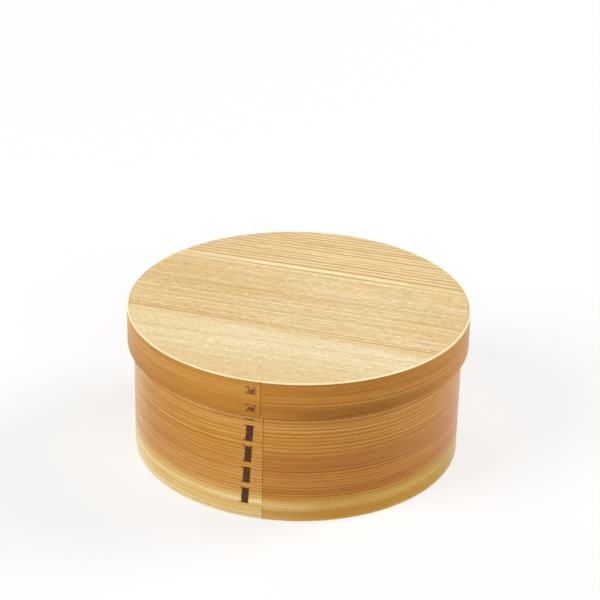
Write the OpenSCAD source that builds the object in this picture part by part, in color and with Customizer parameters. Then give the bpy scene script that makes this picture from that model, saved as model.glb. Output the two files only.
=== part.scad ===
// Ohitsu: a round bentwood cedar tub for cooked rice, with a lid that drops over its rim.
// Each band is one thin board bent into a ring. Its two tapered ends lap over each other and
// are sewn together with a strip of cherry bark that runs in and out through slits.
// Lengths are millimetres. Angles start at the front, -Y, and grow towards +X.

/* [Tub] */
// Outside diameter of the tub band
tub_d = 204; // [160:1:270]
// Height of the tub band
tub_h = 88; // [84:1:140]
// Thickness of the tub band
tub_wall = 3.6; // [3:0.1:6]
// Height of the foot ring under the floor
foot_h = 1.5; // [0.8:0.1:1.8]
// Thickness of the floor boards
floor_t = 7; // [5:0.5:7.5]
// Depth of the rebate that takes the floor's rim
floor_rebate = 1.4; // [0.8:0.1:1.8]
// Rounding of the tub's rim and the bands' free edges
edge_r = 0.8; // [0.3:0.1:1.2]
// Rounding of the foot's outer edge
foot_r = 0.6; // [0.3:0.1:0.9]

/* [Lid] */
// Height of the lid band
lid_h = 24; // [22:1:40]
// Thickness of the lid band
lid_wall = 3.2; // [2.8:0.1:5]
// Running gap between the tub and the lid band, on the radius
lid_fit = 0.8; // [0.7:0.1:2]
// Thickness of the lid's top boards
top_t = 7; // [5:0.5:10]
// Thickness of the lip that shows round the top boards
lip_t = 1.1; // [0.9:0.1:1.6]
// Rounding of the lip's outer edge
lip_r = 0.6; // [0.2:0.1:0.8]
// How far the ledge under the top boards' rim lies over the lid's highest slit
ledge_up = 0.5; // [0.3:0.1:1]

/* [Boards] */
// Direction of the lid's grain, from X
top_grain_angle = -17; // [-90:1:90]
// Joint between the back and the middle lid board, from the centre
top_joint_back = 43; // [30:1:60]
// Joint between the middle and the front lid board, from the centre
top_joint_front = 37.5; // [30:0.5:60]
// Direction of the floor's grain, from X
floor_grain_angle = 24; // [-90:1:90]
// Joint between the back and the middle floor board, from the centre
floor_joint_back = 35; // [25:1:60]
// Joint between the middle and the front floor board, from the centre
floor_joint_front = 32; // [25:1:60]
// Clearance of the boards in their rebates
board_gap = 0.1; // [0.05:0.05:0.3]
// Bevel round the rims of the floor and the top
bevel = 0.3; // [0.1:0.1:0.5]

/* [Bamboo pins] */
// Diameter of a pin
pin_d = 2.5; // [1.5:0.1:3]
// Length of a pin
pin_l = 24; // [12:1:30]
// Distance of a pin from the middle of its joint
pin_reach = 40; // [20:1:50]
// Clearance of a pin in its bore, on the radius
pin_gap = 0.05; // [0.02:0.01:0.1]

/* [Lapped ends] */
// Where the outer end of the tub band stops
tub_seam_angle = -10.8; // [-90:0.1:90]
// Where the outer end of the lid band stops
lid_seam_angle = -11.4; // [-90:0.1:90]
// Length of the overlap
lap_l = 56; // [40:1:90]
// Thickness that the tapered ends keep at their tips
tip_t = 0.5; // [0.3:0.1:0.8]
// Width of the glue line between the lapped ends
glue_t = 0.2; // [0.1:0.05:0.3]
// Width of the line that shows where an end stops
seam_w = 0.3; // [0.2:0.1:0.6]

/* [Bark sewing] */
// Slits in the tub's row. After an odd number the strip ends in the highest one, flush outside
tub_slits = 9; // [5:1:10]
// Distance between two stitches on the tub
tub_stitch_gap = 4.2; // [3:0.1:5]
// Distance from the tub's seam to the middle of its row
tub_row_in = 9.3; // [8:0.1:20]
// Height of the tub's lowest slit over the floor
tub_row_up = 1.3; // [1:0.1:3]
// Distance of the tub's highest slit below the rim
tub_row_down = 21.2; // [18:0.1:30]
// Lean of the tub's row from the vertical
tub_lean_angle = 3.2; // [0:0.1:3.5]
// Slits in the lid's row
lid_slits = 4; // [2:2:4]
// Length of a stitch on the lid
lid_stitch_l = 4; // [3:0.1:5]
// Distance between two stitches on the lid
lid_stitch_gap = 7.5; // [3:0.1:8]
// Distance from the lid's seam to the middle of its row
lid_row_in = 5.3; // [5:0.1:16]
// Distance from the top boards' underside down to the upper stitch's lower slit
lid_row_down = 1.7; // [1.5:0.1:3]
// Width of the bark strip
strip_w = 4.1; // [3:0.1:5]
// Thickness of the bark strip
strip_t = 0.35; // [0.3:0.05:0.45]
// Gap between the strip and the wood that it lies on
strip_gap = 0.05; // [0.03:0.01:0.1]
// How far a slit runs past the strip towards the seam
slit_near = 0.45; // [0.2:0.05:1]
// How far a slit runs past the strip on the other side
slit_far = 1.5; // [0.2:0.05:3]
// Gap between the strip and the slit's upper and lower sides
slit_gap = 0.15; // [0.15:0.01:0.3]

/* [Hidden] */
$fn = 180;
over = 1; // how far a cut runs past the face that it leaves

tub_r = tub_d / 2;
tub_ri = tub_r - tub_wall;
floor_z = foot_h + floor_t;
floor_r = tub_ri + floor_rebate - board_gap;

lid_ri = tub_r + lid_fit;
lid_r = lid_ri + lid_wall;
top_z = tub_h + top_t;
lid_z = top_z - lid_h;
top_r = lid_ri - board_gap;
flange_r = lid_r - lip_t - board_gap;

bend_r = strip_t * 1.25;
slit_h = strip_t + 2 * slit_gap;
tub_row_h = tub_h - tub_row_down - tub_row_up - floor_z;
tub_row_z = floor_z + tub_row_up + tub_row_h / 2;
tub_row_gaps = floor((tub_slits - 1) / 2);
tub_stitch_l = (tub_row_h / cos(tub_lean_angle) - tub_row_gaps * tub_stitch_gap) / floor(tub_slits / 2);
tub_row_angle = tub_seam_angle - tub_row_in / tub_r * 180 / PI;
lid_row_l = slit_run(lid_slits - 1, lid_stitch_l, lid_stitch_gap);
lid_row_z = tub_h - lid_row_down + lid_stitch_l - lid_row_l / 2;
lid_row_angle = lid_seam_angle - lid_row_in / lid_r * 180 / PI;
ledge_z = lid_row_z + lid_row_l / 2 + slit_h / 2 + ledge_up;

// Turns a piece that lies along +X to an angle counted from the front
module at_front(angle) {
    rotate([0, 0, angle - 90])
        children();
}

// What comes off a square corner to round it. inward points from the corner into the section.
module round_off(corner, inward, radius) {
    low = [for (i = [0, 1]) inward[i] > 0 ? -over : -radius];
    difference() {
        translate(corner + low)
            square(radius + over);
        translate(corner + inward * radius)
            circle(r = radius);
    }
}

// The thin gap between the lapped ends of a band, seen from above, with its seam on +X.
// Its long stretch is an arc about a centre beside the band's own, so that both ends taper.
module lap_gap(outer_r, wall) {
    inner_r = outer_r - wall;
    middle_r = outer_r - wall / 2;
    lap_angle = lap_l / middle_r * 180 / PI;
    shift = (wall - 2 * tip_t) / (2 * sin(lap_angle / 2));
    arc_r = sqrt(middle_r * middle_r + shift * shift);
    far = outer_r * 1.2;
    shift_angle = 90 - lap_angle / 2;
    intersection() {
        translate(shift * [cos(shift_angle), sin(shift_angle)])
            difference() {
                circle(r = arc_r + glue_t / 2);
                circle(r = arc_r - glue_t / 2);
            }
        polygon([
            [0, 0],
            far * [cos(-lap_angle), sin(-lap_angle)],
            far * [cos(-lap_angle / 2), sin(-lap_angle / 2)],
            [far, 0]
        ]);
    }
    translate([outer_r - tip_t, -seam_w / 2])
        square([tip_t + over, seam_w]);
    rotate(-lap_angle)
        translate([inner_r - over, -seam_w / 2])
            square([tip_t + over, seam_w]);
}

// Distance of slit i of a row from the lowest one
function slit_run(i, stitch_l, gap) = floor(i / 2) * (stitch_l + gap) + (i % 2) * stitch_l;

// Where slit i of a row of count slits lies along the row, counted from the row's middle
function slit_along(i, count, stitch_l, gap) =
    slit_run(i, stitch_l, gap) - slit_run(count - 1, stitch_l, gap) / 2;

// The slits of one row, cut through a wall whose outer face is at outer_r
module slits(outer_r, wall, row_angle, row_z, count, stitch_l, gap, lean) {
    for (i = [0 : count - 1]) {
        along = slit_along(i, count, stitch_l, gap);
        turn = along * sin(lean) / outer_r * 180 / PI;
        at_front(row_angle + turn)
            translate([outer_r - wall - over, -strip_w / 2 - slit_far, row_z + along * cos(lean)])
                translate([0, 0, -slit_h / 2])
                    cube([wall + 2 * over, slit_far + strip_w + slit_near, slit_h]);
    }
}

// The inside of a quarter turn of the strip, at the corner where its two middle lines meet.
// inward points from the corner to the centre of the turn.
module bend_inside(corner, inward) {
    low = [for (i = [0, 1]) inward[i] > 0 ? 0 : -bend_r];
    difference() {
        translate(corner + low)
            square(bend_r);
        translate(corner + inward * bend_r)
            circle(r = bend_r - strip_t / 2);
    }
}

// A straight stretch of the strip between two points of its middle line
module stretch(x0, z0, x1, z1) {
    translate([x0 - strip_t / 2, z0 - strip_t / 2])
        square([x1 - x0 + strip_t, z1 - z0 + strip_t]);
}

// The sewn strip seen from the side, with x as the radius and y along the row. It starts inside
// at the lowest slit and goes out through even slits and in through odd ones.
module strip_profile(inner_r, outer_r, x_in, x_out, count, stitch_l, gap) {
    last = count - 1;
    z = [for (i = [0 : last]) slit_along(i, count, stitch_l, gap)];
    up = [for (i = [0 : last]) i % 2 == 0 ? 1 : -1];
    ends_inside = [for (i = [0 : last]) i == 0 || (i == last && up[i] < 0)];
    ends_outside = [for (i = [0 : last]) i == last && up[i] > 0];
    difference() {
        union() {
            for (i = [0 : last]) {
                low = ends_inside[i] ? inner_r + strip_t / 2 : x_in;
                high = ends_outside[i] ? outer_r - strip_t / 2 : x_out;
                stretch(low, z[i], high, z[i]);
                if (!ends_outside[i])
                    bend_inside([x_out, z[i]], [-1, up[i]]);
                if (!ends_inside[i])
                    bend_inside([x_in, z[i]], [1, -up[i]]);
            }
            for (i = [0 : last - 1]) {
                x = up[i] > 0 ? x_out : x_in;
                stretch(x, z[i], x, z[i + 1]);
            }
        }
        for (i = [0 : last]) {
            away = up[i] * strip_t / 2;
            if (!ends_outside[i])
                round_off([x_out + strip_t / 2, z[i] - away], [-1, up[i]], bend_r + strip_t / 2);
            if (!ends_inside[i])
                round_off([x_in - strip_t / 2, z[i] + away], [1, -up[i]], bend_r + strip_t / 2);
        }
    }
}

// One strip of bark sewn through a row of slits. Each end stops flush with the face it reaches.
module lacing(outer_r, wall, row_angle, row_z, count, stitch_l, gap, lean) {
    inner_r = outer_r - wall;
    reach = strip_w / 2 + slit_run(count - 1, stitch_l, gap) / 2 * sin(lean);
    x_out = outer_r + strip_gap + strip_t / 2;
    x_in = inner_r - strip_gap - reach * reach / (2 * inner_r) - strip_t / 2;
    at_front(row_angle)
        translate([0, 0, row_z])
            rotate([-lean, 0, 0])
                rotate([90, 0, 0])
                    linear_extrude(strip_w, center = true)
                        strip_profile(inner_r, outer_r, x_in, x_out, count, stitch_l, gap);
}

// One board of a round panel: the part of the panel between two lines along the grain
module board(from, to, grain) {
    far = lid_r * 2;
    intersection() {
        children();
        rotate([0, 0, grain])
            translate([-far, from, -over])
                cube([2 * far, to - from, top_z + 2 * over]);
    }
}

// The pins of both joints of a panel, or their bores with the clearance added
module pins(grain, joint_back, joint_front, middle_z, clearance) {
    for (joint = [joint_back, -joint_front], side = [-1, 1])
        rotate([0, 0, grain])
            translate([side * pin_reach, joint, middle_z])
                rotate([90, 0, 0])
                    cylinder(r = pin_d / 2 + clearance, h = pin_l + 2 * clearance, center = true);
}

module floor_disc() {
    rotate_extrude()
        polygon([
            [0, foot_h],
            [floor_r - bevel, foot_h],
            [floor_r, foot_h + bevel],
            [floor_r, floor_z - bevel],
            [floor_r - bevel, floor_z],
            [0, floor_z]
        ]);
}

module floor_bores() {
    pins(floor_grain_angle, floor_joint_back, floor_joint_front, foot_h + floor_t / 2, pin_gap);
}

module top_disc() {
    rotate_extrude()
        polygon([
            [0, tub_h],
            [top_r - bevel, tub_h],
            [top_r, tub_h + bevel],
            [top_r, ledge_z],
            [flange_r, ledge_z],
            [flange_r, top_z - bevel],
            [flange_r - bevel, top_z],
            [0, top_z]
        ]);
}

module top_bores() {
    pins(top_grain_angle, top_joint_back, top_joint_front, tub_h + top_t / 2, pin_gap);
}

module tub_band() {
    color("peru")
        difference() {
            rotate_extrude()
                difference() {
                    translate([tub_ri, 0])
                        square([tub_wall, tub_h]);
                    translate([tub_ri - over, -over])
                        square([floor_rebate + over, floor_z + over]);
                    round_off([tub_r, tub_h], [-1, -1], edge_r);
                    round_off([tub_ri, tub_h], [1, -1], edge_r);
                    round_off([tub_r, 0], [-1, 1], foot_r);
                }
            at_front(tub_seam_angle)
                translate([0, 0, -over])
                    linear_extrude(tub_h + 2 * over)
                        lap_gap(tub_r, tub_wall);
            slits(
                tub_r, tub_wall, tub_row_angle, tub_row_z,
                tub_slits, tub_stitch_l, tub_stitch_gap, tub_lean_angle
            );
        }
}

module tub_bark_lacing() {
    color("saddlebrown")
        lacing(
            tub_r, tub_wall, tub_row_angle, tub_row_z,
            tub_slits, tub_stitch_l, tub_stitch_gap, tub_lean_angle
        );
}

module tub_floor_board_back() {
    color("wheat")
        difference() {
            board(floor_joint_back, tub_r, floor_grain_angle)
                floor_disc();
            floor_bores();
        }
}

module tub_floor_board_middle() {
    color("burlywood")
        difference() {
            board(-floor_joint_front, floor_joint_back, floor_grain_angle)
                floor_disc();
            floor_bores();
        }
}

module tub_floor_board_front() {
    color("wheat")
        difference() {
            board(-tub_r, -floor_joint_front, floor_grain_angle)
                floor_disc();
            floor_bores();
        }
}

module tub_floor_pins() {
    color("darkkhaki")
        pins(floor_grain_angle, floor_joint_back, floor_joint_front, foot_h + floor_t / 2, 0);
}

module lid_band() {
    color("peru")
        difference() {
            rotate_extrude()
                difference() {
                    translate([lid_ri, lid_z])
                        square([lid_wall, lid_h]);
                    translate([lid_ri - over, ledge_z])
                        square([lid_wall - lip_t + over, top_z - ledge_z + over]);
                    round_off([lid_r, top_z], [-1, -1], lip_r);
                    round_off([lid_r, lid_z], [-1, 1], edge_r);
                    round_off([lid_ri, lid_z], [1, 1], edge_r);
                }
            at_front(lid_seam_angle)
                translate([0, 0, lid_z - over])
                    linear_extrude(lid_h + 2 * over)
                        lap_gap(lid_r, lid_wall);
            slits(
                lid_r, lid_wall, lid_row_angle, lid_row_z,
                lid_slits, lid_stitch_l, lid_stitch_gap, 0
            );
        }
}

module lid_bark_lacing() {
    color("saddlebrown")
        lacing(
            lid_r, lid_wall, lid_row_angle, lid_row_z,
            lid_slits, lid_stitch_l, lid_stitch_gap, 0
        );
}

module lid_top_board_back() {
    color("burlywood")
        difference() {
            board(top_joint_back, lid_r, top_grain_angle)
                top_disc();
            top_bores();
        }
}

module lid_top_board_middle() {
    color("wheat")
        difference() {
            board(-top_joint_front, top_joint_back, top_grain_angle)
                top_disc();
            top_bores();
        }
}

module lid_top_board_front() {
    color("blanchedalmond")
        difference() {
            board(-lid_r, -top_joint_front, top_grain_angle)
                top_disc();
            top_bores();
        }
}

module lid_top_pins() {
    color("darkkhaki")
        pins(top_grain_angle, top_joint_back, top_joint_front, tub_h + top_t / 2, 0);
}

tub_band();
tub_bark_lacing();
tub_floor_board_back();
tub_floor_board_middle();
tub_floor_board_front();
tub_floor_pins();
lid_band();
lid_bark_lacing();
lid_top_board_back();
lid_top_board_middle();
lid_top_board_front();
lid_top_pins();
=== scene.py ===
"""A round bentwood tub for cooked rice with its lid on, in plain soft studio light.

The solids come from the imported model. This file gives them their wood, sews in the bark strips as
detailed pieces, and sets the light and the camera. Lengths are metres unless a name ends in _mm.
"""

import math
import random
from collections import namedtuple

import bmesh
import bpy
from mathutils import Matrix, Vector


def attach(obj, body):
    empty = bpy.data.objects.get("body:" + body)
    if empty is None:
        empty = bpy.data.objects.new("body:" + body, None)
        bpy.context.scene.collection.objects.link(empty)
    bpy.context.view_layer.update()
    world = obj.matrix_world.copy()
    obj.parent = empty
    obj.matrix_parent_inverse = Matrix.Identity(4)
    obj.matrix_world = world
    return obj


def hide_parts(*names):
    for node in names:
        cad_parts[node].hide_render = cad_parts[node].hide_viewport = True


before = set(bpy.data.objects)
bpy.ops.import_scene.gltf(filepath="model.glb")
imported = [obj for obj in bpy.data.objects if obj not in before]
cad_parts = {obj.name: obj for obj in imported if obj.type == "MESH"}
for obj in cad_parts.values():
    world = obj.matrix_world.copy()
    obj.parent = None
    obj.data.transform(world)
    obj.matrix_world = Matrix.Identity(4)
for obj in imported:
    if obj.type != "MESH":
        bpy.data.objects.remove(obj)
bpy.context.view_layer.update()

MM = 0.001
TAU = 2 * math.pi

# Sizes and places of the bands and boards, as in the part's source
TUB_R_MM = 102.0
TUB_WALL_MM = 3.6
TUB_TOP_MM = 88.0
FLOOR_TOP_MM = 8.5
LID_R_MM = 106.0
LID_WALL_MM = 3.2
LID_TOP_MM = 95.0
TUB_SEAM_DEG = -10.8
LID_SEAM_DEG = -11.4
TOP_GRAIN_DEG = -17.0
FLOOR_GRAIN_DEG = 24.0

# Bark strips and their rows of slits, as in the part's source
STRIP_W_MM = 4.1
STRIP_T_MM = 0.35
STRIP_GAP_MM = 0.05
BEND_R_MM = 0.44
TUB_STITCHES = 4
TUB_STITCH_GAP_MM = 4.2
TUB_ROW_IN_MM = 9.3
TUB_ROW_UP_MM = 1.3
TUB_ROW_DOWN_MM = 21.2
TUB_LEAN_DEG = 3.2
LID_STITCHES = 2
LID_STITCH_MM = 4.0
LID_STITCH_GAP_MM = 7.5
LID_ROW_IN_MM = 5.3
LID_ROW_DOWN_MM = 1.7


def srgb(r, g, b):
    """A colour given as it looks on screen, 0 to 255, as the linear value that shaders take."""
    def linear(c):
        c /= 255
        return c / 12.92 if c <= 0.04045 else ((c + 0.055) / 1.055) ** 2.4
    return (linear(r), linear(g), linear(b), 1.0)


# Colours of the bent boards, as seen in even white light. A few of them also carry painted sheen,
# shade or highlight, as noted where they stand.
PALE_SAP = srgb(238, 214, 162)
STRAW = srgb(226, 198, 138)
SAP = srgb(218, 182, 104)
DEEP_SAP = srgb(205, 166, 80)
# Partly the sapwood's olive colour, partly painted shade on the tub's right side
SHADED_OLIVE_SAP = srgb(186, 148, 34)
GOLD = srgb(193, 140, 44)
AMBER = srgb(183, 120, 40)
HONEY = srgb(201, 143, 57)
LIGHT_HONEY = srgb(205, 149, 70)
# Partly the wood's yellower colour, partly a painted sheen on the tub's left edge
TUB_YELLOW_AND_SHEEN = srgb(210, 168, 96)
TUB_RED = srgb(184, 106, 50)
TUB_LINE = srgb(154, 80, 0)
TUB_PALE = srgb(222, 170, 84)
LID_AMBER = srgb(180, 118, 34)
LID_HONEY = srgb(187, 126, 44)
LID_GOLD = srgb(197, 139, 57)
LID_GLOW = srgb(209, 143, 42)
LID_STRIPE = srgb(146, 89, 20)
LID_LINE = srgb(154, 86, 0)
# Partly the pale cut wood of the lid's upper edge, partly a painted highlight of its rounding
PALE_LIP_AND_HIGHLIGHT = srgb(255, 236, 186)

# Colours of the flat boards. Tones are the shaded, the middle and the pale colour of one board.
BOARD = srgb(229, 200, 147)
BOARD_SHADED = srgb(225, 193, 138)
BOARD_PALE = srgb(234, 209, 162)
BOARD_LINE = srgb(192, 150, 88)
CREAM = srgb(247, 227, 179)
BOARD_TONES = (BOARD_SHADED, BOARD, BOARD_PALE)
BACK_TONES = (BOARD, srgb(236, 207, 153), srgb(238, 211, 161))
FRONT_TONES = (srgb(233, 209, 160), srgb(236, 215, 168), srgb(239, 220, 178))

# Growth bands of the tub's board by height: from its seam to the right, and at its other end
TUB_START_BANDS = (
    (0.0, DEEP_SAP), (3.0, GOLD), (6.5, GOLD), (9.5, DEEP_SAP), (12.0, DEEP_SAP), (15.5, GOLD),
    (19.0, AMBER), (28.0, HONEY), (35.0, AMBER), (43.0, AMBER), (50.0, HONEY), (88.0, HONEY),
)
TUB_END_BANDS = (
    (0.0, STRAW), (4.0, STRAW), (6.5, SAP), (9.0, SAP), (12.0, PALE_SAP), (14.5, SAP),
    (19.0, LIGHT_HONEY), (36.0, LIGHT_HONEY), (42.0, HONEY), (56.0, HONEY), (88.0, LIGHT_HONEY),
)
# The same for the lid's board
LID_START_BANDS = ((71.0, LID_GLOW), (76.0, LID_HONEY), (94.0, LID_HONEY))
LID_END_BANDS = (
    (71.0, LID_AMBER), (76.0, LID_HONEY), (80.0, LID_HONEY), (84.0, LID_GOLD), (91.0, LID_GOLD),
    (94.0, LID_HONEY),
)

# How far the grain darkens and lightens red, green and blue: fine fibres evenly, streaks warmly
BAND_SPREAD = (0.08, 0.19, 0.6)
BAND_WARM = (0.06, 0.17, 0.6)
BOARD_SPREAD = (0.088, 0.124, 0.17)
BOARD_WARM = (0.05, 0.113, 0.22)

# Heights between which the tub's sapwood ends, and where the lid's upper edge turns pale: partly
# its cut wood, partly a painted highlight of its rounded edge
SAP_ENDS_MM = (12.0, 19.0)
LIP_HIGHLIGHT_FROM_MM = (94.15, 94.45)
# Degrees from the seam over which the first part of a board gives way to the rest
FIRST_PART_DEG = (60.0, 200.0)
# Where within each growth ring its dark line is strongest, and where it begins to fade
LINE_PEAK = 0.86
LINE_FALL = 0.88
# How much the lines of a flat board shift across it per millimetre of height
BOARD_TILT = 0.3


class Nodes:
    """Short ways to add and link the nodes of one material or world."""

    def __init__(self, owner):
        self.owner = owner
        owner.use_nodes = True
        self.tree = owner.node_tree
        self.tree.nodes.clear()

    def add(self, kind, **settings):
        node = self.tree.nodes.new(kind)
        for key, value in settings.items():
            setattr(node, key, value)
        return node

    def put(self, socket, value):
        if isinstance(value, bpy.types.NodeSocket):
            self.tree.links.new(value, socket)
        else:
            socket.default_value = value

    def math(self, operation, a, b=0.0, clamp=False):
        node = self.add("ShaderNodeMath", operation=operation, use_clamp=clamp)
        self.put(node.inputs[0], a)
        self.put(node.inputs[1], b)
        return node.outputs[0]

    def plus(self, a, b):
        return self.math("ADD", a, b)

    def minus(self, a, b):
        return self.math("SUBTRACT", a, b)

    def over(self, a, b):
        return self.math("DIVIDE", a, b)

    def times(self, product, *factors):
        for factor in factors:
            product = self.math("MULTIPLY", product, factor)
        return product

    def swing(self, pattern, amount):
        """How far a pattern is from its average of 0.5, times amount."""
        return self.times(self.minus(pattern, 0.5), amount)

    def span(self, value, low, high, to_low=0.0, to_high=1.0, smooth=True):
        """value taken from low..high to to_low..to_high, held beyond the ends."""
        kind = "SMOOTHSTEP" if smooth else "LINEAR"
        node = self.add("ShaderNodeMapRange", clamp=True, interpolation_type=kind)
        for socket, v in zip(node.inputs[:5], (value, low, high, to_low, to_high)):
            self.put(socket, v)
        return node.outputs[0]

    def bump_at(self, value, centre, half, soft):
        """1 where value is within half of centre, falling to 0 over soft on both sides."""
        away = self.math("ABSOLUTE", self.minus(value, centre))
        return self.span(away, half, half + soft, 1.0, 0.0)

    def vector(self, x, y, z=0.0):
        node = self.add("ShaderNodeCombineXYZ")
        for socket, value in zip(node.inputs, (x, y, z)):
            self.put(socket, value)
        return node.outputs[0]

    def noise(self, x, y, z=0.0, detail=2.0, roughness=0.5):
        """Smooth noise around 0.5. An axis given as (distance, size) is stretched by size."""
        axes = [self.over(*axis) if isinstance(axis, tuple) else axis for axis in (x, y, z)]
        node = self.add("ShaderNodeTexNoise", noise_dimensions="3D")
        self.put(node.inputs["Vector"], self.vector(*axes))
        for key, value in (("Scale", 1.0), ("Detail", detail), ("Roughness", roughness)):
            node.inputs[key].default_value = value
        return node.outputs["Fac"]

    def random_of(self, value, seed):
        """A random number from 0 to 1 for each whole number below value."""
        node = self.add("ShaderNodeTexWhiteNoise", noise_dimensions="2D")
        self.put(node.inputs["Vector"], self.vector(self.math("FLOOR", value), seed))
        return node.outputs["Value"]

    def mix(self, factor, a, b, blend="MIX"):
        node = self.add("ShaderNodeMix", data_type="RGBA", blend_type=blend)
        factor_socket, a_socket, b_socket = (node.inputs[i] for i in (0, 6, 7))
        self.put(factor_socket, factor)
        self.put(a_socket, a)
        self.put(b_socket, b)
        return node.outputs[2]

    def tint(self, colour, towards, *factors):
        """colour mixed towards another by the product of the factors."""
        return self.mix(self.times(*factors), colour, towards)

    def ramp(self, factor, stops):
        node = self.add("ShaderNodeValToRGB")
        elements = node.color_ramp.elements
        while len(elements) < len(stops):
            elements.new(0.5)
        for element, (position, colour) in zip(elements, stops):
            element.position = position
            element.color = colour
        self.put(node.inputs[0], factor)
        return node.outputs[0]

    def surface(self, colour, roughness, height, depth_mm, specular=0.5):
        """A shader with a bump of the given height, 0 to 1 over depth_mm."""
        shader = self.add("ShaderNodeBsdfPrincipled")
        self.put(shader.inputs["Base Color"], colour)
        self.put(shader.inputs["Roughness"], roughness)
        shader.inputs["Specular IOR Level"].default_value = specular
        bump = self.add("ShaderNodeBump")
        bump.inputs["Strength"].default_value = 1.0
        bump.inputs["Distance"].default_value = depth_mm * MM
        self.put(bump.inputs["Height"], height)
        self.put(shader.inputs["Normal"], bump.outputs[0])
        return shader.outputs[0]

    def mix_shaders(self, factor, a, b):
        node = self.add("ShaderNodeMixShader")
        for socket, value in zip(node.inputs, (factor, a, b)):
            self.put(socket, value)
        return node.outputs[0]

    def backdrop_rays(self):
        """1 for rays that see the white backdrop: from the camera, reflected, or through glass."""
        rays = self.add("ShaderNodeLightPath").outputs
        either = self.math("MAXIMUM", rays["Is Camera Ray"], rays["Is Glossy Ray"])
        return self.math("MAXIMUM", either, rays["Is Transmission Ray"])

    def finish(self, shader, output="ShaderNodeOutputMaterial"):
        """Ends the tree with a shader and returns its material or world."""
        self.put(self.add(output).inputs["Surface"], shader)
        return self.owner


def material_nodes(name):
    return Nodes(bpy.data.materials.new(name))


def place_mm(n):
    """The surface point at rest, as x, y and z in millimetres."""
    coords = n.add("ShaderNodeTexCoord")
    split = n.add("ShaderNodeSeparateXYZ")
    n.put(split.inputs[0], coords.outputs["Object"])
    return [n.times(axis, 1 / MM) for axis in split.outputs]


def angle_round(n, x, y):
    """Angle round the tub's middle from the front, going right, in radians."""
    return n.math("ARCTAN2", x, n.times(y, -1.0))


def growth_lines(n, count, seed, rise_from=0.5):
    """Latewood lines, one per growth ring of count. Each rises slowly and ends sharply."""
    part = n.math("FRACT", count)
    rise = n.span(part, rise_from, LINE_PEAK)
    fall = n.span(part, LINE_FALL, 1.0, 1.0, 0.0)
    strength = n.span(n.random_of(count, seed), 0.0, 1.0, 0.45, 1.0, smooth=False)
    return n.times(rise, fall, strength)


def stops_between(n, value, stops):
    """Colour of value between stops given in the value's own unit."""
    low, high = stops[0][0], stops[-1][0]
    shares = [((v - low) / (high - low), colour) for v, colour in stops]
    return n.ramp(n.span(value, low, high, smooth=False), shares)


def vary(n, colour, pattern, amount, spread):
    """Darkens and lightens a colour by noise around 0.5. spread is the share of each channel."""
    dark = tuple(max(0.0, 1 - amount * s) for s in spread) + (1.0,)
    light = tuple(1 + amount * s for s in spread) + (1.0,)
    shade = n.mix(n.span(pattern, 0.3, 0.7, smooth=False), dark, light)
    return n.mix(1.0, colour, shade, "MULTIPLY")


def band_coordinates(n, radius_mm, seam_deg):
    """Distance along the board from its seam, height, and the angle from the seam in degrees."""
    x, y, z = place_mm(n)
    turn = n.math("FRACT", n.plus(n.over(angle_round(n, x, y), TAU), 1 - seam_deg / 360))
    return n.times(turn, TAU * radius_mm), z, n.times(turn, 360.0)


class BandGrain:
    """Level grain of a bent board. w is the height that follows the grain."""

    def __init__(self, n, u, z, seed, break_mm, rings_below, rings_above):
        """u is the distance along the board. Rings are counted per mm, below and above break_mm."""
        climb = n.noise((u, 190.0), seed, 2.0, detail=0.0)
        waver = n.noise((u, 60.0), (z, 14.0), seed + 1.0, detail=1.0)
        w = n.plus(z, n.plus(n.swing(climb, 2.0), n.swing(waver, 0.6)))
        below = n.times(n.math("MINIMUM", w, break_mm), rings_below)
        above = n.times(n.math("MAXIMUM", n.minus(w, break_mm), 0.0), rings_above)
        uneven = n.noise((w, 7.0), seed + 2.0, 0.0, detail=1.0)
        self.n = n
        self.w = w
        self.rings = growth_lines(n, n.plus(n.plus(below, above), n.times(uneven, 1.2)), seed)
        self.fine = n.noise((u, 220.0), (w, 0.8), seed + 5.0)
        self.streaks = n.noise((u, 150.0), (w, 2.6), seed + 7.0, detail=1.0)
        self.fibres = n.noise((u, 90.0), (w, 0.6), seed + 3.0, detail=4.0, roughness=0.65)
        self.ticks = n.noise((u, 0.9), (w, 6.0), seed + 6.0, roughness=0.6)
        self.specks = n.noise((u, 1.0), (w, 1.2), seed + 9.0, roughness=0.7)
        self.clouds = n.noise((u, 60.0), (w, 9.0), seed + 4.0)
        self.patches = n.noise((u, 16.0), (w, 3.2), seed + 8.0)

    def shade(self, colour, calm):
        """calm below 1 weakens the level fibres, as in sapwood."""
        n = self.n
        for pattern, amount in ((self.fine, 1.7), (self.fibres, 1.2), (self.specks, 0.8)):
            colour = vary(n, colour, n.plus(0.5, n.swing(pattern, calm)), amount, BAND_SPREAD)
        for pattern, amount in ((self.patches, 0.3), (self.ticks, 0.4)):
            colour = vary(n, colour, pattern, amount, BAND_SPREAD)
        return vary(n, colour, self.streaks, 0.5, BAND_WARM)

    def finish(self, colour, line, smoothest, roughest, specular):
        """The material, where the fibres stand up and the growth lines are sunk."""
        n = self.n
        rough = n.span(self.fibres, 0.25, 0.75, smoothest, roughest)
        height = n.minus(n.times(self.fibres, 0.6), n.times(line, 0.5))
        return n.finish(n.surface(colour, rough, height, 0.04, specular))


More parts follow.
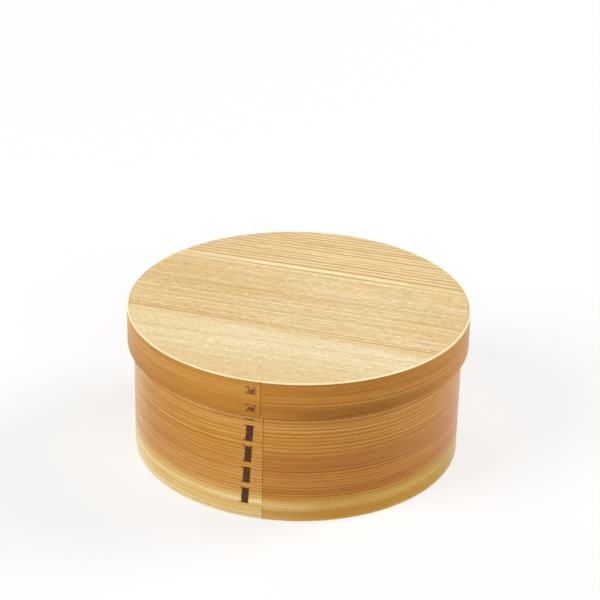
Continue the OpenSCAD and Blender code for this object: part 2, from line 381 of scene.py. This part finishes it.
def tub_sapwood_and_side_light(n, colour, w, turn):
    """Changes the tub's colours where its sapwood differs, and paints light on its sides: the left
    edge paler and yellower, partly wood colour and partly a painted sheen; the right side darker,
    partly olive sapwood and partly painted shade; and paler sapwood by the seam.
    """
    # turn goes right from the seam, so the left side comes last
    left = n.times(n.span(turn, 296.0, 314.0, 0.8, 0.0), n.span(turn, 230.0, 290.0))
    right = n.times(n.span(turn, 48.0, 76.0, 0.0, 0.85), n.span(turn, 110.0, 150.0, 1.0, 0.0))
    # Partly the wood's own colour, partly a painted sheen: the left edge is paler and yellower in
    # the heartwood and the sapwood
    colour = n.tint(colour, TUB_YELLOW_AND_SHEEN, left, n.span(w, *SAP_ENDS_MM))
    colour = n.tint(colour, PALE_SAP, left, n.span(w, 7.0, 13.0, 0.7, 0.0))
    # Partly the sapwood's own colour, partly painted shade: the right side is darker and less blue,
    # in the sapwood and above it
    colour = n.tint(colour, SHADED_OLIVE_SAP, right, n.span(w, 14.0, 22.0, 1.0, 0.0))
    colour = n.tint(colour, AMBER, right, n.span(w, 14.0, 22.0, 0.0, 0.5))
    edge = n.math("MAXIMUM", n.bump_at(w, 9.6, 1.6, 2.4), n.span(w, 3.0, 8.0, 0.5, 0.0))
    return n.tint(colour, PALE_SAP, n.span(turn, 2.0, 26.0, 1.0, 0.0), edge, 0.4)


def tub_band_wood():
    """Bent cedar: orange-brown heartwood with fine level grain and a pale sapwood edge below."""
    n = material_nodes("tub_band_cedar")
    u, z, turn = band_coordinates(n, TUB_R_MM, TUB_SEAM_DEG)
    grain = BandGrain(n, u, z, seed=3.0, break_mm=43.0, rings_below=0.48, rings_above=0.40)
    w = grain.w
    # The board is paler towards the end that comes round to the seam
    start, end = (stops_between(n, w, bands) for bands in (TUB_START_BANDS, TUB_END_BANDS))
    colour = n.mix(n.span(turn, 150.0, 320.0), start, end)
    colour = tub_sapwood_and_side_light(n, colour, w, turn)
    red_clouds, pale_clouds = n.span(grain.clouds, 0.42, 0.66), n.span(grain.clouds, 0.5, 0.3)
    colour = n.tint(colour, TUB_RED, red_clouds, n.bump_at(w, 34.0, 6.0, 12.0), 0.25)
    colour = n.tint(colour, TUB_PALE, pale_clouds, n.span(w, 44.0, 60.0, 0.0, 0.2))
    # The growth lines are faint in the sapwood, and boldest in the first part and low down
    first = n.span(turn, *FIRST_PART_DEG, 1.0, 0.0)
    bolder = n.times(first, n.span(w, 36.0, 46.0, 0.3, 0.24))
    bold = n.plus(n.span(w, 40.0, 50.0, 0.76, 0.6), bolder)
    heart_rings = n.times(grain.rings, n.span(w, *SAP_ENDS_MM, 0.16, 1.0))
    line = n.math("MULTIPLY", heart_rings, bold, clamp=True)
    colour = n.tint(colour, TUB_LINE, line)
    colour = grain.shade(colour, calm=n.span(w, 9.0, 19.0, 0.45, 1.0))
    return grain.finish(colour, line, smoothest=0.22, roughest=0.34, specular=0.28)


def lid_band_wood():
    """Bent cedar of the lid: even honey-brown, with a dark stripe low on the right of the seam."""
    n = material_nodes("lid_band_cedar")
    u, z, turn = band_coordinates(n, LID_R_MM, LID_SEAM_DEG)
    grain = BandGrain(n, u, z, seed=12.0, break_mm=60.0, rings_below=0.4, rings_above=0.42)
    w = grain.w
    start, end = (stops_between(n, w, bands) for bands in (LID_START_BANDS, LID_END_BANDS))
    colour = n.mix(n.span(turn, 170.0, 320.0), start, end)
    colour = n.tint(colour, LID_AMBER, n.span(grain.clouds, 0.45, 0.68, 0.0, 0.35))
    stripe = n.times(n.span(w, 77.2, 80.6, 1.0, 0.0), n.span(turn, 30.0, 88.0, 1.0, 0.0),
                     n.span(turn, 2.0, 22.0, 0.5, 1.0))
    colour = n.tint(colour, LID_STRIPE, stripe, n.span(grain.patches, 0.3, 0.7, 0.6, 0.95))
    # The growth lines are faint in the stripe, and boldest in the first part
    first = n.span(turn, *FIRST_PART_DEG, 1.0, 0.0)
    line = n.times(grain.rings, n.span(first, 0.0, 1.0, 0.22, 0.45),
                   n.span(stripe, 0.0, 1.0, 1.0, 0.3))
    colour = n.tint(colour, LID_LINE, line)
    calm = n.times(n.span(first, 0.0, 1.0, 0.65, 1.0), n.span(stripe, 0.0, 1.0, 1.0, 0.6))
    colour = grain.shade(colour, calm)
    pores = n.plus(0.5, n.swing(grain.specks, stripe))
    colour = vary(n, colour, pores, 1.0, BAND_SPREAD)
    # The lid's upper edge: pale cut wood with a painted highlight of its rounded edge
    colour = n.tint(colour, PALE_LIP_AND_HIGHLIGHT, n.span(z, *LIP_HIGHLIGHT_FROM_MM))
    return grain.finish(colour, line, smoothest=0.32, roughest=0.44, specular=0.21)


def board_coordinates(n, grain_deg):
    """Distances along and across the grain of a round panel, and height."""
    x, y, z = place_mm(n)
    c, s = math.cos(math.radians(grain_deg)), math.sin(math.radians(grain_deg))
    along = n.plus(n.times(x, c), n.times(y, s))
    across = n.minus(n.times(y, c), n.times(x, s))
    return along, across, z


# A line of a board's grain: its place across the lid's top, half width and softness in mm, its
# colour and strength, and how far it drifts across per mm along
Stripe = namedtuple("Stripe", "place half soft colour strength drift", defaults=(0.0,))


def add_stripe(n, colour, stripe, v, along, fading):
    """One line of the grain, laid over the colour. fading weakens it towards both of its ends."""
    strength = stripe.strength
    if fading:
        strength = n.times(n.bump_at(along, 0.0, 20.0, 130.0), strength)
    level = n.minus(v, n.times(along, stripe.drift)) if stripe.drift else v
    middle = stripe.place + LID_TOP_MM * BOARD_TILT
    shape = n.bump_at(level, middle, stripe.half, stripe.soft)
    return n.tint(colour, stripe.colour, shape, strength)


def board_wood(name, grain_deg, tones, seed, rings_per_mm, ring_depth, ring_rise=0.4,
               fleck=1.2, fleck_mm=9.0, bands=0.7, stripes=(), fading=False):
    """Planed cedar board.

    tones are its shaded, middle and pale colours. ring_depth is the strength of its growth lines,
    ring_rise the point in a ring where the line begins, fleck and fleck_mm the strength and length
    of its short flecks, and bands the strength of its long streaks.
    """
    n = material_nodes(name)
    along, across, z = board_coordinates(n, grain_deg)
    sway = n.noise((along, 150.0), (across, 90.0), seed, detail=1.0)
    v = n.plus(n.plus(across, n.swing(sway, 3.0)), n.times(z, BOARD_TILT))
    uneven = n.noise((v, 12.0), seed, 1.0, detail=1.0)
    rings = growth_lines(n, n.plus(n.times(v, rings_per_mm), n.times(uneven, 1.5)), seed, ring_rise)
    streaks = n.noise((along, 190.0), (v, 2.4), (z, 8.0), detail=3.0, roughness=0.6)
    flecks = n.noise((along, fleck_mm), (v, 0.95), (z, 3.0), detail=4.0, roughness=0.88)
    ticks = n.noise((along, 0.9), (v, 5.0), seed + 3.0)
    clouds = n.noise((along, 70.0), (v, 9.0), seed + 7.0)
    # The board is palest to the right of its middle
    tone = n.plus(clouds, n.times(n.minus(n.bump_at(along, 35.0, 10.0, 110.0), 0.6), 0.26))
    colour = n.ramp(tone, list(zip((0.3, 0.5, 0.7), tones)))
    colour = n.tint(colour, BOARD_LINE, rings, ring_depth)
    for stripe in stripes:
        colour = add_stripe(n, colour, stripe, v, along, fading)
    colour = vary(n, colour, streaks, bands, BOARD_WARM)
    for pattern, amount in ((flecks, fleck), (ticks, 0.4)):
        colour = vary(n, colour, pattern, amount, BOARD_SPREAD)
    rough = n.span(flecks, 0.25, 0.75, 0.50, 0.66)
    fibres = n.plus(n.times(streaks, 0.3), n.times(flecks, 0.5))
    height = n.minus(fibres, n.times(rings, 0.4))
    return n.finish(n.surface(colour, rough, height, 0.06, specular=0.15))


def bark_skin(name, body, patch_and_sheen_colour, line_colour, bulge_sheen_mm=()):
    """Cherry bark: smooth, with patches and short pale lines, and a painted sheen at the heights
    given, where the strip bulges into its slit.
    """
    n = material_nodes(name)
    x, y, z = place_mm(n)
    u = n.times(angle_round(n, x, y), TUB_R_MM)
    patch_and_sheen = n.noise((u, 1.6), (z, 2.6), 1.0, detail=3.0)
    # Painted sheen: the pale patches are made stronger where the strip bulges at each given height
    for height in bulge_sheen_mm:
        patch_and_sheen = n.plus(patch_and_sheen, n.times(n.bump_at(z, height, 0.6, 1.0), 0.14))
    lines = n.noise((u, 0.4), (z, 3.0), 4.0, detail=3.0, roughness=0.7)
    # The patch colour is the tub bark's own mottle; on the lid's bark it is a painted sheen
    colour = n.tint(body, patch_and_sheen_colour, n.span(patch_and_sheen, 0.42, 0.66))
    colour = n.tint(colour, line_colour, n.span(lines, 0.52, 0.7, 0.0, 0.5))
    rough = n.span(lines, 0.3, 0.7, 0.34, 0.5)
    return n.finish(n.surface(colour, rough, lines, 0.06, specular=0.18))


def bamboo_skin():
    """Split bamboo of the hidden pins: pale, with fine upright fibres."""
    n = material_nodes("bamboo_pin")
    x, y, z = place_mm(n)
    fibres = n.noise((x, 0.3), (y, 0.3), (z, 8.0), detail=3.0)
    colour = n.ramp(fibres, [(0.3, srgb(186, 160, 104)), (0.7, srgb(222, 200, 146))])
    return n.finish(n.surface(colour, n.span(fibres, 0.3, 0.7, 0.4, 0.6), fibres, 0.04))


# Looks of the lid's top boards, with the lines that the photograph shows most clearly
TOP_BOARDS = {
    "back": dict(
        tones=BACK_TONES, seed=2.0, rings_per_mm=0.24, ring_depth=0.9, ring_rise=0.25,
        fleck=1.9, bands=1.1, fading=True, stripes=(
            Stripe(46.6, 1.6, 0.8, CREAM, 0.98, -0.006),
            Stripe(49.6, 0.4, 0.8, BOARD_LINE, 0.3, -0.006),
            Stripe(43.6, 0.4, 0.7, BOARD_LINE, 0.5, -0.006),
            Stripe(64.6, 0.9, 0.9, CREAM, 0.35),
            Stripe(71.9, 0.9, 0.9, CREAM, 0.35),
        )),
    "middle": dict(
        tones=BOARD_TONES, seed=6.0, rings_per_mm=0.16, ring_depth=0.25, ring_rise=0.1,
        fleck=2.8, fleck_mm=4.5, bands=1.0, stripes=(
            Stripe(41.3, 0.8, 0.8, CREAM, 0.5, -0.006),
            Stripe(6.8, 0.6, 3.0, BOARD_LINE, 0.25),
            Stripe(-4.8, 0.3, 0.9, BOARD_LINE, 0.2),
            Stripe(-7.0, 0.4, 0.8, CREAM, 0.3),
            Stripe(-19.3, 0.3, 0.7, CREAM, 0.4),
            Stripe(-31.8, 0.3, 0.9, CREAM, 0.4, -0.018),
            Stripe(-34.2, 0.3, 0.5, BOARD_LINE, 0.5, -0.018),
            Stripe(-37.4, 0.4, 0.5, BOARD_LINE, 0.7, -0.018),
        )),
    "front": dict(
        tones=FRONT_TONES, seed=11.0, rings_per_mm=0.10, ring_depth=0.12, ring_rise=0.3,
        fleck=2.2, fleck_mm=3.0, bands=0.45, stripes=(
            Stripe(-56.8, 0.1, 0.45, BOARD_LINE, 0.5, 0.03),
            Stripe(-37.8, 3.0, 7.0, BOARD, 0.9, -0.018),
            Stripe(-37.4, 0.4, 0.5, BOARD_LINE, 0.7, -0.018),
            Stripe(-100.0, 6.0, 30.0, BOARD_SHADED, 0.7),
        )),
}
# Growth rings of the tub's floor boards, per mm
FLOOR_RINGS = {"back": 0.2, "middle": 0.3, "front": 0.24}


def dress(node, material):
    """Gives a CAD solid one material in every slot."""
    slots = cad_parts[node].data.materials
    if len(slots) == 0:
        slots.append(material)
    for i in range(len(slots)):
        slots[i] = material


def dress_wood():
    """Gives every wooden solid its wood."""
    dress("tub_band", tub_band_wood())
    dress("lid_band", lid_band_wood())
    for part, look in TOP_BOARDS.items():
        wood = board_wood("lid_top_" + part + "_cedar", TOP_GRAIN_DEG, **look)
        dress("lid_top_board_" + part, wood)
    for i, (part, rings_per_mm) in enumerate(FLOOR_RINGS.items()):
        wood = board_wood("tub_floor_" + part + "_cedar", FLOOR_GRAIN_DEG, BOARD_TONES,
                          seed=20.0 + 4 * i, rings_per_mm=rings_per_mm, ring_depth=0.35)
        dress("tub_floor_board_" + part, wood)
    pin = bamboo_skin()
    dress("tub_floor_pins", pin)
    dress("lid_top_pins", pin)


# Fineness of a strip's mesh: steps through a wall, along a stitch outside and inside the band,
# round a bend, and across the strip
SLIT_STEPS, OUTSIDE_STEPS, INSIDE_STEPS, BEND_STEPS, STRIP_SPANS = 4, 26, 8, 6, 8
# How far its faces lie inside its thickness, and how far they rise in the middle, in front and
# behind
FACE_IN_MM, CROWN_MM, BACK_CROWN_MM = 0.06, 0.05, 0.01
# How far its edges wander, the share of the way that they go at each step, how far out they may
# go, and the chance and size of a nick
WANDER_LEFT_MM, WANDER_RIGHT_MM, WANDER_SHARE, EDGE_OUT_MM = 0.16, 0.10, 0.5, 0.12
NICK_CHANCE, NICK_MM = 0.035, 0.45

# A row of slits: the band's outer radius and wall, the row's place round it and the height of its
# middle, the slits' places along it counted from there, and how far it leans
Row = namedtuple("Row", "radius_mm wall_mm turn_deg middle_mm slits lean_deg")


def slit_places(count, stitch_mm, gap_mm):
    """Places of a row's slits, counted from the middle of the row."""
    run = [(i // 2) * (stitch_mm + gap_mm) + (i % 2) * stitch_mm for i in range(count)]
    return [r - run[-1] / 2 for r in run]


def tub_row():
    """The tub's row: a slit at both ends of each stitch, and one for the end of the strip."""
    low, high = FLOOR_TOP_MM + TUB_ROW_UP_MM, TUB_TOP_MM - TUB_ROW_DOWN_MM
    length_mm = (high - low) / math.cos(math.radians(TUB_LEAN_DEG))
    stitch_mm = (length_mm - TUB_STITCHES * TUB_STITCH_GAP_MM) / TUB_STITCHES
    turn_deg = TUB_SEAM_DEG - math.degrees(TUB_ROW_IN_MM / TUB_R_MM)
    slits = slit_places(2 * TUB_STITCHES + 1, stitch_mm, TUB_STITCH_GAP_MM)
    return Row(TUB_R_MM, TUB_WALL_MM, turn_deg, (low + high) / 2, slits, TUB_LEAN_DEG)


def lid_row():
    """The lid's row, which is upright and ends with its last stitch."""
    slits = slit_places(2 * LID_STITCHES, LID_STITCH_MM, LID_STITCH_GAP_MM)
    turn_deg = LID_SEAM_DEG - math.degrees(LID_ROW_IN_MM / LID_R_MM)
    middle_mm = TUB_TOP_MM - LID_ROW_DOWN_MM + LID_STITCH_MM - slits[-1]
    return Row(LID_R_MM, LID_WALL_MM, turn_deg, middle_mm, slits, 0.0)


def straight(start, end, steps, face):
    """Points of a path between two ends, without the ends."""
    for k in range(1, steps):
        t = k / steps
        yield start[0] + (end[0] - start[0]) * t, start[1] + (end[1] - start[1]) * t, face


def bend(centre_x, centre_z, side, start_deg):
    """Points of a path round a quarter turn. side is 1 outside the band and -1 inside it."""
    for k in range(BEND_STEPS + 1):
        a = math.radians(start_deg + 90 * k / BEND_STEPS)
        face = (math.cos(a), side * math.sin(a))
        yield centre_x + side * BEND_R_MM * math.cos(a), centre_z + BEND_R_MM * math.sin(a), face


def strip_path(row):
    """Middle line of a strip that starts inside at the lowest slit and goes out and in by turns.

    Its points are the radius, the place along the row, and the direction of the strip's outer face.
    """
    inner = row.radius_mm - row.wall_mm
    inside = inner - STRIP_GAP_MM - STRIP_T_MM / 2
    outside = row.radius_mm + STRIP_GAP_MM + STRIP_T_MM / 2
    last = len(row.slits) - 1
    path = []
    for i, z in enumerate(row.slits):
        side, face = (1, (0.0, -1.0)) if i % 2 == 0 else (-1, (0.0, 1.0))
        near, far = (inside, outside) if side == 1 else (outside, inside)
        start, end = near + side * BEND_R_MM, far - side * BEND_R_MM
        if i == 0:
            start = inner
            path.append((start, z, face))
        if i == last:
            end = row.radius_mm if side == 1 else inner
        path += straight((start, z), (end, z), SLIT_STEPS, face)
        if i == last:
            path.append((end, z, face))
        else:
            low, high = z + BEND_R_MM, row.slits[i + 1] - BEND_R_MM
            steps = OUTSIDE_STEPS if side == 1 else INSIDE_STEPS
            path += bend(end, low, side, -90)
            path += straight((far, low), (far, high), steps, (1.0, 0.0))
            path += bend(end, high, side, 0)
    return path


def ragged_edges(rng, count):
    """Both edges of a strip at each of its points, as in bark cut by hand, with rare nicks."""
    left = right = 0.0
    for _ in range(count):
        left += (rng.uniform(-WANDER_LEFT_MM, WANDER_LEFT_MM) - left) * WANDER_SHARE
        right += (rng.uniform(-WANDER_RIGHT_MM, WANDER_RIGHT_MM) - right) * WANDER_SHARE
        if rng.random() < NICK_CHANCE:
            left += NICK_MM
        yield -STRIP_W_MM / 2 + max(left, -EDGE_OUT_MM), STRIP_W_MM / 2 + min(right, EDGE_OUT_MM)


def strip_section(low, high):
    """Outline of a strip's section: places across it and off its middle, outer face first."""
    half = STRIP_T_MM / 2 - FACE_IN_MM
    steps = range(STRIP_SPANS + 1)
    for side, crown, order in ((1, CROWN_MM, steps), (-1, BACK_CROWN_MM, reversed(steps))):
        for j in order:
            t = j / STRIP_SPANS
            yield low + (high - low) * t, side * half + crown * (1 - (2 * t - 1) ** 2)


def bent_place(row, radius, along, aside):
    """Where a point along a leaning row and aside from it lies on the round band."""
    lean = math.radians(row.lean_deg)
    across = along * math.sin(lean) + aside * math.cos(lean)
    height = row.middle_mm + along * math.cos(lean) - aside * math.sin(lean)
    a = math.radians(row.turn_deg) + across / row.radius_mm
    return Vector((radius * math.sin(a), -radius * math.cos(a), height)) * MM


def strip_mesh(name, row, seed):
    """A closed tube of sections along a strip's path through its row of slits."""
    path = strip_path(row)
    edges = ragged_edges(random.Random(seed), len(path))
    bm = bmesh.new()
    rings = []
    for (radius, along, face), (low, high) in zip(path, edges):
        rings.append([
            bm.verts.new(bent_place(row, radius + face[0] * off, along + face[1] * off, aside))
            for aside, off in strip_section(low, high)])
    for a, b in zip(rings, rings[1:]):
        for j in range(len(a)):
            k = (j + 1) % len(a)
            bm.faces.new((a[j], a[k], b[k], b[j]))
    bm.faces.new(list(reversed(rings[0])))
    bm.faces.new(rings[-1])
    bmesh.ops.recalc_face_normals(bm, faces=bm.faces)
    for face in bm.faces:
        face.smooth = True
    return new_mesh(name, bm)


def new_mesh(name, bm):
    mesh = bpy.data.meshes.new(name)
    bm.to_mesh(mesh)
    bm.free()
    return mesh


def add_object(name, data):
    added = bpy.data.objects.new(name, data)
    bpy.context.scene.collection.objects.link(added)
    return added


def sew(name, node, body, row, bark, seed):
    """Puts a strip of bark in place of the CAD node that it details."""
    mesh = strip_mesh(name, row, seed)
    mesh.materials.append(bark)
    strip = add_object(name, mesh)
    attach(strip, body)
    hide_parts(node)


def sew_bands():
    """Sews both bands. The lid's bark is redder, with pale patches painted as its sheen, lifted at
    the upper end of each stitch.
    """
    dark = bark_skin("bark_dark", srgb(72, 40, 16), srgb(88, 52, 26), srgb(104, 68, 38))
    sew("tub_sewing", "tub_bark_lacing", "tub", tub_row(), dark, seed=4)
    row = lid_row()
    # Painted sheen: the lid bark's pale patch colour, strongest at the upper end of each stitch
    red = bark_skin("bark_red", srgb(106, 56, 14), srgb(178, 122, 72), srgb(150, 96, 50),
                    bulge_sheen_mm=[row.middle_mm + top for top in row.slits[1::2]])
    sew("lid_sewing", "lid_bark_lacing", "lid", row, red, seed=9)


FLOOR_HALF = 6.0
# How far towards white the backdrop's rays see the floor, at these distances from the middle
FLOOR_LIFT = (0.6, 1.0)
FLOOR_LIFT_MM = (300.0, 1500.0)
FILL_LEVEL = 0.04
# Lamps, this far from the object: degrees from the front, degrees up, diameter, and the level to
# which each lights a white card that faces it
LAMP_DISTANCE = 4.0
LAMPS = {
    "key": (-62, 34, 2.8, 0.68),
    "back_right": (110, 33, 2.5, 0.66),
    "front_right": (30, 35, 2.5, 0.24),
    "back_left": (-150, 14, 2.5, 0.38),
    "above": (0, 88, 2.5, 0.12),
}
LAMP_TARGET = (0.0, 0.0, 0.05)
# The camera, from the outlines of the lid and the foot in the photograph
CAMERA_LENS = 118.5
CAMERA_PLACE = (0.0, -1.094, 0.635)
CAMERA_TARGET = (0.0006, 0.0, 0.0962)
CAMERA_ROLL_DEG = 1.3


def floor_paper():
    """White paper. The backdrop's rays see it nearer to white, so the shadow on it stays faint."""
    n = material_nodes("floor_paper")
    x, y, _ = place_mm(n)
    grain = n.noise((x, 2.5), (y, 2.5), detail=3.0)
    colour = n.ramp(grain, [(0.3, srgb(252, 252, 252)), (0.7, srgb(254, 254, 254))])
    paper = n.surface(colour, 0.9, grain, 0.01, specular=0.1)
    far = n.math("SQRT", n.plus(n.times(x, x), n.times(y, y)))
    lift = n.times(n.backdrop_rays(), n.span(far, *FLOOR_LIFT_MM, *FLOOR_LIFT))
    white = n.add("ShaderNodeEmission").outputs[0]
    return n.finish(n.mix_shaders(lift, paper, white))


def add_floor():
    bm = bmesh.new()
    bmesh.ops.create_grid(bm, x_segments=8, y_segments=8, size=FLOOR_HALF)
    mesh = new_mesh("floor", bm)
    mesh.materials.append(floor_paper())
    add_object("floor", mesh)


def look_at(obj, target):
    direction = Vector(target) - obj.location
    obj.rotation_euler = direction.to_track_quat("-Z", "Y").to_euler()


def add_lamp(name, turn_deg, rise_deg, size, level):
    """A round lamp, looking at the object from turn_deg round from the front and rise_deg up."""
    data = bpy.data.lights.new(name, "AREA")
    data.shape = "DISK"
    data.size = size
    data.energy = level * (math.pi * LAMP_DISTANCE) ** 2
    lamp = add_object(name, data)
    turn, rise = math.radians(turn_deg), math.radians(rise_deg)
    direction = (math.sin(turn) * math.cos(rise), -math.cos(turn) * math.cos(rise), math.sin(rise))
    lamp.location = Vector(direction) * LAMP_DISTANCE
    look_at(lamp, LAMP_TARGET)


def studio_world():
    """A faint fill light, which the backdrop's rays see as white."""
    n = Nodes(bpy.data.worlds.new("studio"))
    fill, white = n.add("ShaderNodeBackground"), n.add("ShaderNodeBackground")
    for background, level in ((fill, FILL_LEVEL), (white, 1.0)):
        background.inputs["Color"].default_value = (1, 1, 1, 1)
        background.inputs["Strength"].default_value = level
    seen = n.mix_shaders(n.backdrop_rays(), fill.outputs[0], white.outputs[0])
    return n.finish(seen, output="ShaderNodeOutputWorld")


def photo_camera():
    """A camera at the photograph's viewing angle."""
    data = bpy.data.cameras.new("camera")
    data.sensor_width = 36.0
    data.lens = CAMERA_LENS
    data.clip_start = 0.05
    data.clip_end = 50.0
    camera = add_object("camera", data)
    camera.location = CAMERA_PLACE
    look_at(camera, CAMERA_TARGET)
    roll = Matrix.Rotation(math.radians(CAMERA_ROLL_DEG), 3, "Z")
    camera.rotation_euler = (camera.rotation_euler.to_matrix() @ roll).to_euler()
    return camera


dress_wood()
sew_bands()
add_floor()
for lamp_name, settings in LAMPS.items():
    add_lamp(lamp_name, *settings)
bpy.context.scene.world = studio_world()
bpy.context.scene.camera = photo_camera()
bpy.context.scene.view_settings.view_transform = "Standard"
